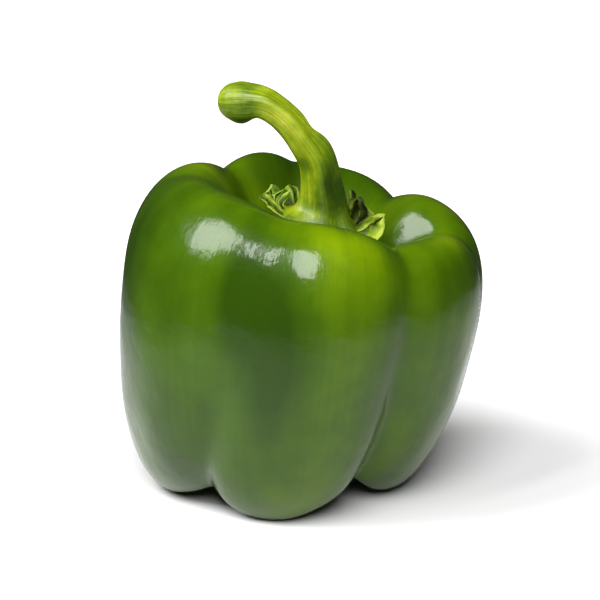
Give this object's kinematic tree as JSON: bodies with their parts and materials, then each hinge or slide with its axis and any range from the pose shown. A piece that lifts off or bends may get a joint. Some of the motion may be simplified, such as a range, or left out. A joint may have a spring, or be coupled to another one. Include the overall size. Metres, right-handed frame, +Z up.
{
  "type": "green bell pepper",
  "caption": "Fresh green bell pepper with a blocky lobed body that stands on its feet, a calyx in the hollow of its top and a curved green stem.",
  "frame": {"origin": "middle of the bounding box on the surface that the pepper stands on", "axes": "+Z up, +X to the viewer's right in the picture, +Y away from the viewer"},
  "size_m": [0.0916, 0.09, 0.1056],
  "materials": {
    "skin": "glossy waxy green skin with soft lengthwise streaks",
    "stem": "matt yellow-green plant stem with fine lengthwise ribs"
  },
  "bodies": {
    "root": {"fruit": "skin", "stem": "stem"}
  },
  "joints": []
}
